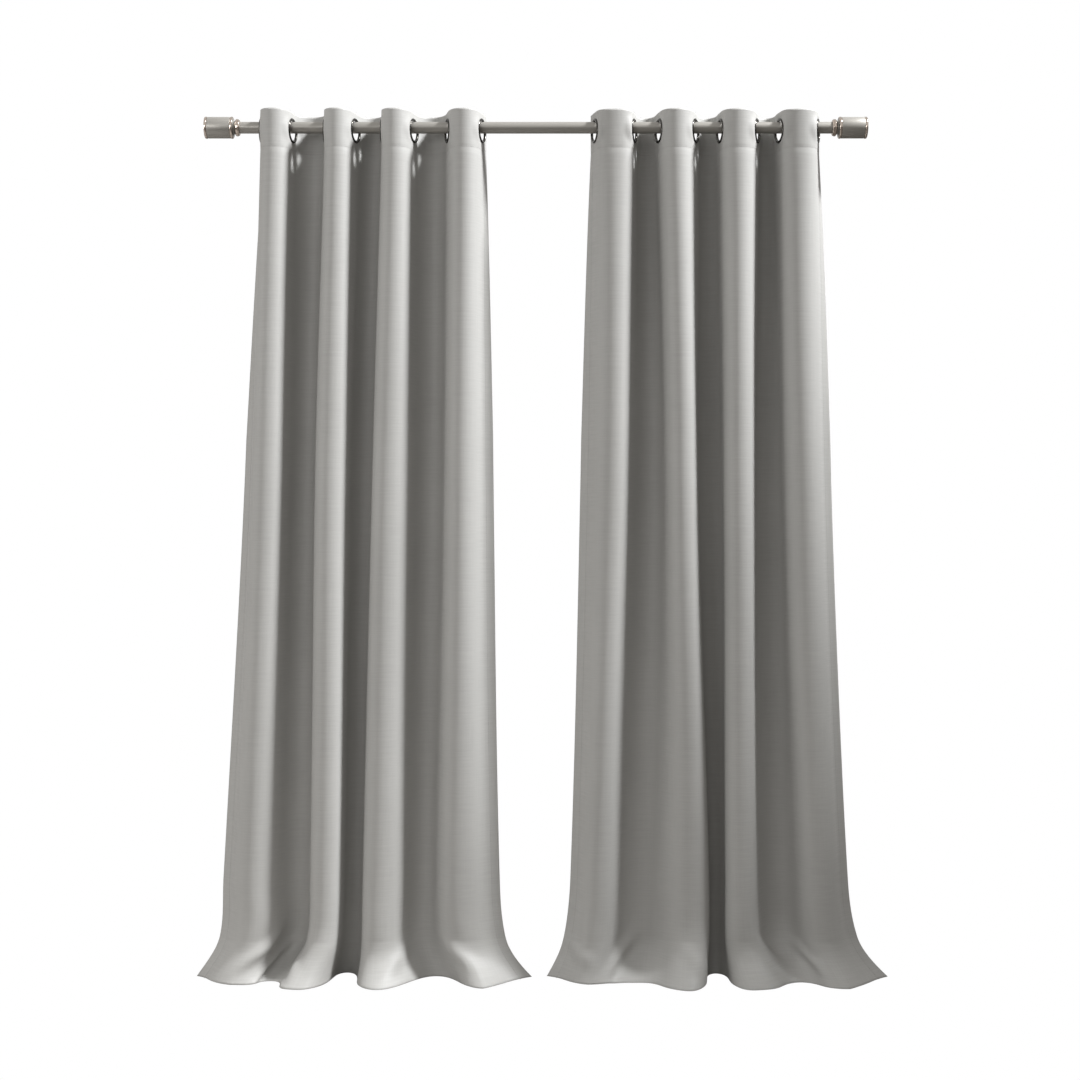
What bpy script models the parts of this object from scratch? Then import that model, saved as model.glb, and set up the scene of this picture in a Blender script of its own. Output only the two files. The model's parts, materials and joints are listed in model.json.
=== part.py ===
"""A pair of grommet-top curtains hung on a wall-mounted rod with drum finials.

Metres, +Z up. The wall's face is the plane y = 0 and the room is on its -Y side. The origin is on the
wall, level with the rod's axis and midway along the rod. The hems rest on the floor.
"""

import math

import bmesh
import bpy
import numpy as np
from mathutils import Matrix, Vector

# Rod, one tube along X
ROD_RADIUS = 0.014
ROD_WALL = 0.0012
ROD_HALF_LENGTH = 0.725
ROD_FROM_WALL = 0.090
FLOOR_BELOW_ROD = 2.084

# Clearance between pieces that touch
GAP = 0.0003

# Curtain panels: each was cut 1.067 m wide and 2.134 m long
CLOTH_THICKNESS = 0.002
GROMMET_PITCH = 0.1423
FLAT_SHARE = 0.10
RING_SHARE = 0.215
SIDE_MARGIN = 0.0355
TOP_ABOVE_ROD = 0.037
HEADING_FOOT = -0.060
HEADING_FADE = 0.7
HEM_LIFT = 0.001

# Near the floor the cloth breaks: its crests run out into the room
BREAK_HEIGHT = 0.11
BREAK_DEPTH = 0.082
CREST_REACH = 0.060

# Where the cloth of each panel crosses the rod's plane, one number for each grommet, at five levels
LEVELS = (HEADING_FOOT, -0.912, -1.843, -1.990, -FLOOR_BELOW_ROD)
LEFT_LINES = (
    (-0.672, -0.597, -0.516, -0.443, -0.376, -0.300, -0.216, -0.133),
    (-0.700, -0.613, -0.541, -0.460, -0.402, -0.307, -0.223, -0.130),
    (-0.744, -0.635, -0.551, -0.474, -0.423, -0.322, -0.236, -0.120),
    (-0.752, -0.638, -0.561, -0.482, -0.426, -0.325, -0.228, -0.106),
    (-0.798, -0.682, -0.618, -0.506, -0.434, -0.312, -0.186, -0.062),
)
RIGHT_LINES = (
    (0.145, 0.240, 0.302, 0.390, 0.452, 0.541, 0.597, 0.690),
    (0.133, 0.232, 0.319, 0.397, 0.460, 0.535, 0.609, 0.704),
    (0.108, 0.203, 0.318, 0.424, 0.464, 0.545, 0.642, 0.742),
    (0.094, 0.196, 0.318, 0.424, 0.464, 0.556, 0.656, 0.764),
    (0.070, 0.184, 0.304, 0.414, 0.474, 0.590, 0.692, 0.816),
)

# The angle, in degrees, at which the heading's cloth meets the rod at each grommet
LEFT_FLANKS = (88, 78, 89, 74, 90, 74, 77, 75)
RIGHT_FLANKS = (76, 76, 77, 70, 80, 72, 77, 76)

# Below the heading the crests lean to the left
LEFT_LEAN = math.radians(7)
RIGHT_LEAN = math.radians(3)

# Grommets: two turned halves clamped round a hole in the cloth. The rings hang on the rod, so their
# centres are just below its axis.
GROMMET_INNER = 0.0235
GROMMET_OUTER = 0.030
GROMMET_BARREL = 0.0252
GROMMET_CROWN, GROMMET_LIP = 0.0026, 0.0014
BACKING_OUTER, BACKING_HEIGHT = 0.0292, 0.0016
BARREL_CURL = 0.0018
GROMMET_STEPS = 16
GROMMET_DROP = -0.0079
CLOTH_HOLE = 0.0262
HOLE_CUTTER_LENGTH = 0.012
HOLE_STEPS = 20

# Finials, from the rod's end outwards
NECK_RADIUS, NECK_LENGTH = 0.0210, 0.0100
NECK_SHOULDER = 0.0040
WAIST_RADIUS, WAIST_LENGTH = 0.0185, 0.0060
WAIST_DEPTH = 0.003
DRUM_RADIUS, DRUM_LENGTH = 0.0265, 0.0690
DRUM_REBATE = 0.0008
BAND_WIDTH, BAND_SEAT, BAND_ROUNDING = 0.0060, 0.0035, 0.0008
CAP_RECESS = 0.0020
PLUG_LENGTH = 0.030
STUD_RADIUS, STUD_IN_DRUM = 0.003, 0.020

# Brackets
LEFT_BRACKET_X, RIGHT_BRACKET_X = -0.651, 0.661
PLATE_WIDTH, PLATE_HEIGHT, PLATE_THICKNESS = 0.034, 0.090, 0.004
PLATE_ROUNDING = 0.0015
POST_RADIUS = 0.0065
CUP_WIDTH, CUP_WALL, CUP_LIP = 0.016, 0.0035, 0.008
SCREW_RADIUS, SCREW_HEAD_RADIUS, SCREW_HEAD_HEIGHT = 0.0025, 0.006, 0.008

ROD_CENTRE = Vector((0, -ROD_FROM_WALL, 0))
ALONG_X = Matrix.Rotation(math.pi / 2, 4, "Y")
ROUND_STEPS, SMALL_ROUND_STEPS = 24, 16


def clear_scene():
    for thing in list(bpy.data.objects):
        bpy.data.objects.remove(thing)


def new_collection(name):
    collection = bpy.data.collections.new(name)
    bpy.context.scene.collection.children.link(collection)
    return collection


def new_material(name, colour, roughness, metallic=0.0):
    material = bpy.data.materials.new(name)
    material.use_nodes = True
    shader = material.node_tree.nodes["Principled BSDF"]
    shader.inputs["Base Color"].default_value = (*colour, 1)
    shader.inputs["Roughness"].default_value = roughness
    shader.inputs["Metallic"].default_value = metallic
    return material


def place(mesh, name, material, collection, matrix):
    """Adds an object for the mesh, or for the curve, at the matrix."""
    thing = bpy.data.objects.new(name, mesh)
    thing.matrix_world = matrix
    if material:
        mesh.materials.append(material)
    collection.objects.link(thing)
    return thing


def turned(name, profile, material, matrix, steps=ROUND_STEPS, closed=True):
    """A turned piece. The profile lists (radius, height) points, down its outer side and back up its
    inner side. An open profile starts and ends on the axis."""
    mesh = bpy.data.meshes.new(name)
    count = len(profile)
    edges = [(i, (i + 1) % count) for i in range(count if closed else count - 1)]
    mesh.from_pydata([(radius, 0, height) for radius, height in profile], edges, [])
    thing = place(mesh, name, material, PARTS, matrix)
    screw = thing.modifiers.new("Turn", "SCREW")
    screw.steps = screw.render_steps = steps
    screw.use_merge_vertices = True
    screw.merge_threshold = 0.0001
    return thing


def solid_cylinder(name, radius, length, material, matrix, steps=ROUND_STEPS):
    profile = [(0, length / 2), (radius, length / 2), (radius, -length / 2), (0, -length / 2)]
    return turned(name, profile, material, matrix, steps, closed=False)


# The cloth's cross-section -------------------------------------------------------------------------


def between_levels(columns, z):
    """A smooth curve through one column of values for each level, read at the height z."""
    if z >= LEVELS[0]:
        return np.array(columns[0])
    values = [np.array(column) for column in columns]
    last = len(LEVELS) - 1
    slopes = []
    for i in range(len(LEVELS)):
        above, below = max(i - 1, 0), min(i + 1, last)
        slopes.append((values[below] - values[above]) / (LEVELS[below] - LEVELS[above]))
    i = max(k for k in range(last) if z <= LEVELS[k])
    span = LEVELS[i + 1] - LEVELS[i]
    t = (z - LEVELS[i]) / span
    start, rise = values[i], values[i + 1] - values[i]
    ease = t * t * (3 - 2 * t)
    return start + rise * ease + span * (slopes[i] * t * (1 - t) ** 2 - slopes[i + 1] * t * t * (1 - t))


SHARES = (np.arange(96) + 0.5) / 96


def loop_turn(share, flat):
    """How far round its bend a loop is, from 0 to 1. The cloth is flat for a share at each end."""
    return np.clip((share - flat) / (1 - 2 * flat), 0, 1)


def crossing_angle(chord, flat):
    """The angle to the rod at which a loop of even curvature leaves and meets the rod's plane."""
    low, high = 0.0, math.pi / 2
    bend = np.cos(math.pi * loop_turn(SHARES, flat))
    for _ in range(30):
        middle = (low + high) / 2
        if GROMMET_PITCH * np.cos(middle * bend).mean() > chord:
            low = middle
        else:
            high = middle
    return low


def loop_angles(share, flat, side, first, last, opening, drift):
    """The cloth's direction along one loop: side is 1 for a crest and -1 for a valley."""
    turn = loop_turn(share, flat)
    swing = first + (last - first) * turn
    angle = swing * np.cos(math.pi * turn) + opening * np.sin(2 * math.pi * turn)
    return side * angle + drift * np.sin(math.pi * turn) ** 2


def solved_loop(chord, flat, side, first, last):
    """The opening and drift with which a loop of the cloth's own length spans the chord."""
    state = np.zeros(2)

    def misses(values):
        angle = loop_angles(SHARES, flat, side, first, last, *values)
        return np.array([np.cos(angle).mean() - chord / GROMMET_PITCH, np.sin(angle).mean()])

    for _ in range(12):
        miss = misses(state)
        step = 1e-5
        slope = np.array([(misses(state + step * axis) - miss) / step for axis in np.eye(2)]).T
        state = state - np.clip(np.linalg.solve(slope, miss), -0.4, 0.4)
    return state


def crossings(panel_shape, z):
    """At the height z: where the cloth crosses the rod's plane, its flat share there, and its angle to
    the rod at each crossing, with the crests towards the room."""
    columns, flanks, lean = panel_shape
    lines = between_levels(columns, z)
    fade = min(max((HEADING_FOOT - z) / HEADING_FADE, 0), 1)
    flat = FLAT_SHARE * (1 - fade)
    chords = np.diff(lines)
    mean = np.concatenate([chords[:1], (chords[1:] + chords[:-1]) / 2, chords[-1:]])
    hanging = np.array([crossing_angle(chord, flat) for chord in mean])
    hanging[0::2] += lean
    hanging[1::2] -= lean
    return lines, flat, np.radians(flanks) * (1 - fade) + hanging * fade


def cross_section(panel_shape, z, shares):
    """The cloth's points (x, y) at the height z: the side return, each loop at its shares, and the
    other return. In the heading the cloth is straight from each grommet to the shares beside it."""
    lines, flat, angles = crossings(panel_shape, z)
    edge = SIDE_MARGIN * np.array([math.cos(angles[0]), -math.sin(angles[0])])
    points = [np.array([lines[0], 0]) - edge]
    for k in range(len(lines) - 1):
        side = 1 if k % 2 == 0 else -1
        opening, drift = solved_loop(lines[k + 1] - lines[k], flat, side, angles[k], angles[k + 1])
        angle = loop_angles(SHARES, flat, side, angles[k], angles[k + 1], opening, drift)
        step = GROMMET_PITCH / len(SHARES)
        x = lines[k] + np.concatenate([[0], np.cumsum(np.cos(angle)) * step])
        y = -np.concatenate([[0], np.cumsum(np.sin(angle)) * step])
        at = np.linspace(0, 1, len(x))
        loop = [np.array([np.interp(s, at, x), np.interp(s, at, y)]) for s in shares]
        if z >= HEADING_FOOT:
            reach = shares[0] * GROMMET_PITCH
            start, end = side * angles[k], -side * angles[k + 1]
            loop[0] = np.array([lines[k] + reach * math.cos(start), -reach * math.sin(start)])
            loop[-1] = np.array([lines[k + 1] - reach * math.cos(end), reach * math.sin(end)])
        points += loop
    edge = SIDE_MARGIN * np.array([math.cos(angles[-1]), math.sin(angles[-1])])
    points.append(np.array([lines[-1], 0]) + edge)
    return np.array(points)


def hem_break(points, z):
    """Near the floor the crests run out into the room, and the valleys stay where they are."""
    reach = min(max((-FLOOR_BELOW_ROD + BREAK_HEIGHT - z) / BREAK_HEIGHT, 0), 1) ** 2
    out = points.copy()
    crest = np.clip(0.5 - points[:, 1] / CREST_REACH, 0, 1)
    out[:, 1] -= reach * BREAK_DEPTH * crest
    return out


PANEL_HEIGHTS = (TOP_ABOVE_ROD, HEADING_FOOT, -0.19, -0.45, -0.85, -1.30, -1.75, -1.97, -2.035)
PANEL_SHARES = np.linspace(RING_SHARE, 1 - RING_SHARE, 5)


def panel(name, panel_shape, material):
    """One curtain: a pleated sheet with a thickness, and a hole at each grommet."""
    heights = [*PANEL_HEIGHTS, -FLOOR_BELOW_ROD + HEM_LIFT]
    rows = []
    for z in heights:
        section = cross_section(panel_shape, z, PANEL_SHARES)
        rows.append([(x, y - ROD_FROM_WALL, z) for x, y in hem_break(section, z)])
    across, down = len(rows[0]), len(rows)
    sheet = bmesh.new()
    bmesh.ops.create_grid(sheet, x_segments=across - 1, y_segments=down - 1, size=1)
    ordered = sorted(sheet.verts, key=lambda v: (-round(v.co.y, 5), round(v.co.x, 5)))
    for vert, point in zip(ordered, [point for row in rows for point in row]):
        vert.co = point
    sheet.normal_update()
    mesh = bpy.data.meshes.new(name)
    sheet.to_mesh(mesh)
    sheet.free()
    thing = place(mesh, name, material, PARTS, Matrix.Identity(4))
    wall = thing.modifiers.new("Cloth thickness", "SOLIDIFY")
    wall.thickness = CLOTH_THICKNESS
    wall.offset = 0
    wall.use_even_offset = True
    cut = thing.modifiers.new("Grommet holes", "BOOLEAN")
    cut.object = hole_cutters(name, panel_shape)
    return thing


def grommet_matrices(panel_shape):
    """The frame of each grommet: its Z axis is the outward normal of the cloth's face."""
    lines, _, angles = crossings(panel_shape, 0)
    frames = []
    for k, (x, angle) in enumerate(zip(lines, angles)):
        heading = angle if k % 2 == 0 else -angle
        normal = Vector((-math.sin(heading), -math.cos(heading), 0))
        turn = Vector((0, 0, 1)).rotation_difference(normal).to_matrix().to_4x4()
        frames.append(Matrix.Translation(ROD_CENTRE + Vector((x, 0, GROMMET_DROP))) @ turn)
    return frames


def hole_cutters(name, panel_shape):
    cutter = bmesh.new()
    for frame in grommet_matrices(panel_shape):
        bmesh.ops.create_cone(
            cutter,
            cap_ends=True,
            segments=HOLE_STEPS,
            radius1=CLOTH_HOLE,
            radius2=CLOTH_HOLE,
            depth=HOLE_CUTTER_LENGTH,
            matrix=frame,
        )
    mesh = bpy.data.meshes.new(name + "_holes")
    cutter.to_mesh(mesh)
    cutter.free()
    thing = place(mesh, name + "_holes", None, CUTTERS, Matrix.Identity(4))
    thing.hide_render = True
    thing.display_type = "WIRE"
    return thing


def grommets(side, panel_shape, material):
    """Each grommet's face ring, whose barrel goes through the cloth, and its backing ring."""
    seat = CLOTH_THICKNESS / 2 + GAP
    crown = (GROMMET_INNER + GROMMET_OUTER) / 2
    face = [
        (crown, seat + GROMMET_CROWN),
        (GROMMET_OUTER, seat),
        (GROMMET_BARREL, seat),
        (GROMMET_BARREL, -seat - BARREL_CURL),
        (GROMMET_INNER, -seat - BARREL_CURL),
        (GROMMET_INNER, seat + GROMMET_LIP),
    ]
    inside = GROMMET_BARREL + 2 * GAP
    backing = [
        (BACKING_OUTER, -seat),
        (BACKING_OUTER - BACKING_HEIGHT, -seat - BACKING_HEIGHT),
        (inside, -seat - BACKING_HEIGHT),
        (inside, -seat),
    ]
    for k, frame in enumerate(grommet_matrices(panel_shape), 1):
        turned(f"{side}_grommet_{k}_face", face, material, frame, GROMMET_STEPS)
        turned(f"{side}_grommet_{k}_backing", backing, material, frame, GROMMET_STEPS)


# Rod, finials and brackets -------------------------------------------------------------------------


def rod(material):
    inner = ROD_RADIUS - ROD_WALL
    half = ROD_HALF_LENGTH
    profile = [(ROD_RADIUS, half), (ROD_RADIUS, -half), (inner, -half), (inner, half)]
    turned("rod_tube", profile, material, Matrix.Translation(ROD_CENTRE) @ ALONG_X)


def finial(side, sign, metal, polished, plastic):
    """One finial, screwed on a stud that stands in a plug in the rod's end."""
    outwards = Matrix.Rotation(sign * math.pi / 2, 4, "Y")
    frame = Matrix.Translation(ROD_CENTRE + Vector((sign * ROD_HALF_LENGTH, 0, 0))) @ outwards
    bore = STUD_RADIUS + GAP
    plug = ROD_RADIUS - ROD_WALL - GAP
    turned(
        f"{side}_rod_plug",
        [(plug, -GAP), (plug, -PLUG_LENGTH), (bore, -PLUG_LENGTH), (bore, -GAP)],
        plastic,
        frame,
        SMALL_ROUND_STEPS,
    )
    neck_top = NECK_LENGTH + GAP
    waist_top = NECK_LENGTH + WAIST_LENGTH
    drum_foot = waist_top + GAP
    drum_top = waist_top + DRUM_LENGTH
    stud_top = drum_foot + STUD_IN_DRUM
    stud = frame @ Matrix.Translation((0, 0, (stud_top - PLUG_LENGTH) / 2))
    length = stud_top + PLUG_LENGTH
    solid_cylinder(f"{side}_finial_stud", STUD_RADIUS, length, metal, stud, SMALL_ROUND_STEPS)
    turned(
        f"{side}_finial_neck_ring",
        [
            (NECK_RADIUS - NECK_SHOULDER, NECK_LENGTH),
            (NECK_RADIUS - NECK_SHOULDER / 4, NECK_LENGTH - NECK_SHOULDER / 3),
            (NECK_RADIUS, NECK_LENGTH - NECK_SHOULDER),
            (NECK_RADIUS - NECK_SHOULDER / 3, NECK_SHOULDER),
            (ROD_RADIUS + NECK_SHOULDER / 2, GAP),
            (bore, GAP),
            (bore, NECK_LENGTH),
        ],
        polished,
        frame,
    )
    turned(
        f"{side}_finial_waist",
        [
            (WAIST_RADIUS, waist_top),
            (WAIST_RADIUS - WAIST_DEPTH, waist_top - WAIST_LENGTH / 2),
            (WAIST_RADIUS - WAIST_DEPTH / 3, neck_top),
            (bore, neck_top),
            (bore, waist_top),
        ],
        metal,
        frame,
    )
    core = DRUM_RADIUS - BAND_SEAT
    wall = DRUM_RADIUS - DRUM_REBATE
    lip = BAND_WIDTH
    turned(
        f"{side}_finial_drum",
        [
            (0, drum_top - CAP_RECESS),
            (core, drum_top - CAP_RECESS),
            (core, drum_top - lip - GAP),
            (wall, drum_top - lip - GAP),
            (wall, drum_foot + lip + GAP),
            (core, drum_foot + lip + GAP),
            (core, drum_foot),
            (bore, drum_foot),
            (bore, stud_top + GAP),
            (0, stud_top + GAP),
        ],
        metal,
        frame,
        closed=False,
    )
    for part, foot, top in (
        ("inner_band", drum_foot, drum_foot + lip),
        ("outer_band", drum_top - lip, drum_top),
    ):
        turned(
            f"{side}_finial_{part}",
            [
                (DRUM_RADIUS - BAND_ROUNDING, top),
                (DRUM_RADIUS, top - BAND_ROUNDING),
                (DRUM_RADIUS, foot + BAND_ROUNDING),
                (DRUM_RADIUS - BAND_ROUNDING, foot),
                (core + GAP, foot),
                (core + GAP, top),
            ],
            polished,
            frame,
        )


def box(name, size, centre, material):
    mesh = bpy.data.meshes.new(name)
    solid = bmesh.new()
    bmesh.ops.create_cube(solid, size=1, matrix=Matrix.Diagonal((*size, 1)))
    solid.to_mesh(mesh)
    solid.free()
    return place(mesh, name, material, PARTS, Matrix.Translation(centre))


def bracket(side, x, metal):
    """A wall plate, a post, the cup that cradles the rod, and the thumb screw that clamps it."""
    plate = box(
        f"{side}_bracket_plate",
        (PLATE_WIDTH, PLATE_THICKNESS, PLATE_HEIGHT),
        (x, -PLATE_THICKNESS / 2, 0),
        metal,
    )
    rounding = plate.modifiers.new("Rounded edges", "BEVEL")
    rounding.width = PLATE_ROUNDING
    rounding.segments = 2
    inside = ROD_RADIUS + 2 * GAP
    outside = inside + CUP_WALL
    post_end = ROD_FROM_WALL - outside - GAP
    post_start = PLATE_THICKNESS + GAP
    to_room = Matrix.Rotation(math.pi / 2, 4, "X")
    post = Matrix.Translation((x, -(post_start + post_end) / 2, 0)) @ to_room
    solid_cylinder(f"{side}_bracket_post", POST_RADIUS, post_end - post_start, metal, post)
    cup(f"{side}_bracket_cup", x, inside, outside, metal)
    clamp_screw(f"{side}_bracket_screw", x, outside, metal)


def cup(name, x, inside, outside, material):
    """A U seen from the rod's end: half a ring under the rod, with a lip up each side of it."""
    steps = ROUND_STEPS // 2
    turns = [math.pi + math.pi * i / steps for i in range(steps + 1)]
    outline = [(outside, CUP_LIP), (inside, CUP_LIP)]
    outline += [(inside * math.cos(-t), inside * math.sin(t)) for t in reversed(turns)]
    outline += [(-inside, CUP_LIP), (-outside, CUP_LIP)]
    outline += [(outside * math.cos(t), outside * math.sin(t)) for t in turns]
    curve = bpy.data.curves.new(name, "CURVE")
    curve.dimensions = "2D"
    curve.fill_mode = "BOTH"
    curve.extrude = CUP_WIDTH / 2
    spline = curve.splines.new("POLY")
    spline.points.add(len(outline) - 1)
    for point, (across, up) in zip(spline.points, outline):
        point.co = (across, up, 0, 1)
    spline.use_cyclic_u = True
    # The outline's own X and Y become the room's depth and height, and its thickness lies along the rod
    turn = Matrix(((0, 0, 1, 0), (1, 0, 0, 0), (0, 1, 0, 0), (0, 0, 0, 1)))
    guide = place(curve, name + "_outline", None, CUTTERS, Matrix.Translation(ROD_CENTRE) @ turn)
    guide.matrix_world.translation.x = x
    bpy.context.view_layer.update()
    mesh = bpy.data.meshes.new_from_object(guide.evaluated_get(bpy.context.evaluated_depsgraph_get()))
    matrix = guide.matrix_world.copy()
    bpy.data.objects.remove(guide)
    welded = bmesh.new()
    welded.from_mesh(mesh)
    bmesh.ops.remove_doubles(welded, verts=welded.verts, dist=1e-6)
    bmesh.ops.recalc_face_normals(welded, faces=welded.faces)
    welded.to_mesh(mesh)
    welded.free()
    thing = place(mesh, name, material, PARTS, matrix)
    drill = bmesh.new()
    bmesh.ops.create_cone(
        drill,
        cap_ends=True,
        segments=SMALL_ROUND_STEPS,
        radius1=SCREW_RADIUS + 2 * GAP,
        radius2=SCREW_RADIUS + 2 * GAP,
        depth=4 * CUP_WALL,
        matrix=Matrix.Translation((x, -ROD_FROM_WALL, -(inside + outside) / 2)),
    )
    drill_mesh = bpy.data.meshes.new(name + "_hole")
    drill.to_mesh(drill_mesh)
    drill.free()
    cutter = place(drill_mesh, name + "_hole", None, CUTTERS, Matrix.Identity(4))
    cutter.hide_render = True
    cutter.display_type = "WIRE"
    thing.modifiers.new("Screw hole", "BOOLEAN").object = cutter
    return thing


def clamp_screw(name, x, outside, material):
    tip = -(ROD_RADIUS + GAP)
    head = -(outside + GAP)
    foot = head - SCREW_HEAD_HEIGHT
    profile = [
        (0, tip),
        (SCREW_RADIUS, tip),
        (SCREW_RADIUS, head),
        (SCREW_HEAD_RADIUS, head),
        (SCREW_HEAD_RADIUS, foot),
        (0, foot),
    ]
    upright = Matrix.Translation((x, -ROD_FROM_WALL, 0))
    turned(name, profile, material, upright, SMALL_ROUND_STEPS, closed=False)


def shade_round_pieces():
    for thing in PARTS.objects:
        thing.data.shade_smooth()
        thing.data.set_sharp_from_angle(angle=math.radians(35))


clear_scene()
PARTS = new_collection("curtains_on_rod")
CUTTERS = new_collection("cutters")

cloth = new_material("grey_blackout_cloth", (0.27, 0.27, 0.275), 0.75)
pewter = new_material("pewter_rod", (0.30, 0.29, 0.28), 0.38, 1.0)
nickel = new_material("polished_nickel", (0.62, 0.58, 0.54), 0.15, 1.0)
dark_nickel = new_material("antique_nickel_grommet", (0.16, 0.15, 0.14), 0.30, 1.0)
grey_plastic = new_material("grey_plastic_plug", (0.10, 0.10, 0.10), 0.5)

rod(pewter)
for side, sign in (("left", -1), ("right", 1)):
    finial(side, sign, pewter, nickel, grey_plastic)
bracket("left", LEFT_BRACKET_X, pewter)
bracket("right", RIGHT_BRACKET_X, pewter)
for side, panel_shape in (
    ("left", (LEFT_LINES, LEFT_FLANKS, LEFT_LEAN)),
    ("right", (RIGHT_LINES, RIGHT_FLANKS, RIGHT_LEAN)),
):
    panel(f"{side}_panel", panel_shape, cloth)
    grommets(side, panel_shape, dark_nickel)
shade_round_pieces()
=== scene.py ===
"""Grommet-top curtains on a rod: the finished look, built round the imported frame.

The cloth of each panel is one continuous pleated sheet. Its folds are worked out from the length of
cloth between two grommets, so the pleats are deep where the crossings are close together.
"""

import json
import math

import bpy
import numpy as np
from bpy.props import FloatProperty, FloatVectorProperty, IntProperty, PointerProperty
from mathutils import Matrix, Vector


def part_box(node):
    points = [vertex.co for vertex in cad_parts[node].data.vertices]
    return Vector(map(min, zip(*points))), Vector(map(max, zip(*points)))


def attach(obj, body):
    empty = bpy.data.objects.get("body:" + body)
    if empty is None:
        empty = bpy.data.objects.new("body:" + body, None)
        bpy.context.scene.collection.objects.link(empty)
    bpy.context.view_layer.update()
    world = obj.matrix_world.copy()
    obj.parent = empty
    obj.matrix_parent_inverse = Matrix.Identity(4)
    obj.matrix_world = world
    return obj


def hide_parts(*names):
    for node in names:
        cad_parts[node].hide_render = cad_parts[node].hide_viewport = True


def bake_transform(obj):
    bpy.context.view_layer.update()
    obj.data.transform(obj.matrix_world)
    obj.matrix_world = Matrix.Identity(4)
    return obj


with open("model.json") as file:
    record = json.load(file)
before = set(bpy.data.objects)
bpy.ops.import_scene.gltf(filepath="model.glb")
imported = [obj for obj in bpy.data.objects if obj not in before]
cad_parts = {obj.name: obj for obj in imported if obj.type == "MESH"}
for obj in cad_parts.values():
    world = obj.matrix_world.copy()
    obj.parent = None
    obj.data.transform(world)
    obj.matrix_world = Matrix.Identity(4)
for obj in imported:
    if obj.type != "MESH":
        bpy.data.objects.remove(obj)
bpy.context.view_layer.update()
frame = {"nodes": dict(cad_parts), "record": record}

bl_info = {
    "name": "Grommet Curtains on a Rod",
    "version": (1, 0, 0),
    "blender": (4, 5, 0),
    "location": "View3D > Sidebar > Curtains",
    "description": "Pleated grommet-top curtain panels, a rod with drum finials, and a studio",
    "category": "Add Mesh",
}

# Sizes are in metres. The frame gives the rod, the grommets' places and the floor, just under the hems
ROD_LOW, ROD_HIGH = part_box("rod_tube")
ROD_CENTRE = (ROD_LOW + ROD_HIGH) / 2
ROD_RADIUS = (ROD_HIGH.z - ROD_LOW.z) / 2
ROD_END = (ROD_HIGH.x - ROD_LOW.x) / 2
ROD_WALL = 0.0012
PANEL_LOW, PANEL_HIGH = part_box("left_panel")
HEM_CLEARANCE = 0.001
FLOOR = PANEL_LOW.z - HEM_CLEARANCE
CLOTH_TOP = PANEL_HIGH.z

# Each panel was cut 1.067 m wide and 2.134 m long, with a grommet every 142.3 mm
FLAT_WIDTH, FLAT_LENGTH = 1.0671, 2.134
GROMMETS = 8
GROMMET_PITCH = 0.1423
SIDE_MARGIN = (FLAT_WIDTH - (GROMMETS - 1) * GROMMET_PITCH) / 2
CLOTH_HOLE = 0.0262

# Each grommet holds a round of cloth flat, and the cloth is free again a little way outside it
RING_RADIUS = 0.030
RING_INNER = 0.0235
RING_CLEARANCE = 0.002
RING_EASE = 0.016

# A grommet's face is a domed ring with a barrel through the cloth, and reaches this far in front of the
# cloth's middle. Its back is a thinner washer, set outside the barrel.
FACE_REACH = 0.0039
FACE_CROWN = 0.0026
BARREL_WALL, BARREL_LENGTH = 0.0012, 0.0016
WASHER_CROWN = 0.0017
WASHER_INSET, WASHER_TRIM = 0.0016, 0.0008

# The finials' turned corners, grooves and bulges
STUD_BORE = 0.0033
NECK_CROWN, NECK_BAND, NECK_STEP = 0.0035, 0.0065, 0.0004
NECK_LIP, NECK_TAPER = 0.0022, 0.0030
WAIST_DEPTH = 0.0034
DRUM_ROUNDING = 0.0006
BAND_SEAT, BAND_GAP = 0.0032, 0.0003
BAND_BULGE, BAND_FULLNESS = 0.0012, 0.6

# The stiff heading hangs the same down to its foot, and its seam is just above that. Its stiffness fades
# over a height below it, and holds a share of each loop flat at both ends.
HEADING_FOOT = -0.060
HEADING_SEAM = -0.057
HEADING_FADE = 0.7
FLAT_SHARE = 0.10
SIDE_HEM = 0.022
HEM_DEPTH = 0.098

# A seam pulls the cloth in by a small depth over a small half-width
HEADING_GROOVE = (0.0005, 0.0030)
SIDE_GROOVE = (0.0006, 0.0028)
HEM_GROOVE = (0.0003, 0.004)

# The hem breaks forward over a height that varies in waves across the panel, by a mean, a spread, cycles
# a metre and a start. Its corners fan out sideways.
BREAK_HEIGHT = 0.11
BREAK_MEAN, BREAK_SPREAD, BREAK_CYCLES, BREAK_TURN = 1.25, 0.3, 2.6, 0.1
BREAK_POWER, FAN_POWER = 2.6, 3
FAN_REACH = SIDE_MARGIN + 0.35 * GROMMET_PITCH

# The side margins turn in towards the rod's plane, most at their edges
MARGIN_TURN, MARGIN_TURN_POWER = 0.6, 0.8

# The cloth's irregular swells: how many, how large, and the share of them left in the heading
SWELLS = 26
SWELL_SIZE = 0.00032
HEADING_SWELL = 0.15

# The sheet's grid: points along a loop's curve and a margin's, then the columns and rows
LOOP_POINTS, MARGIN_POINTS, MARGIN_COLUMNS = 96, 12, 9
HEADING_ROW_STEP = 0.0042
BODY_ROWS, FOOT_ROWS = 122, 28
LOWEST_ROW = 0.0012

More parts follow.
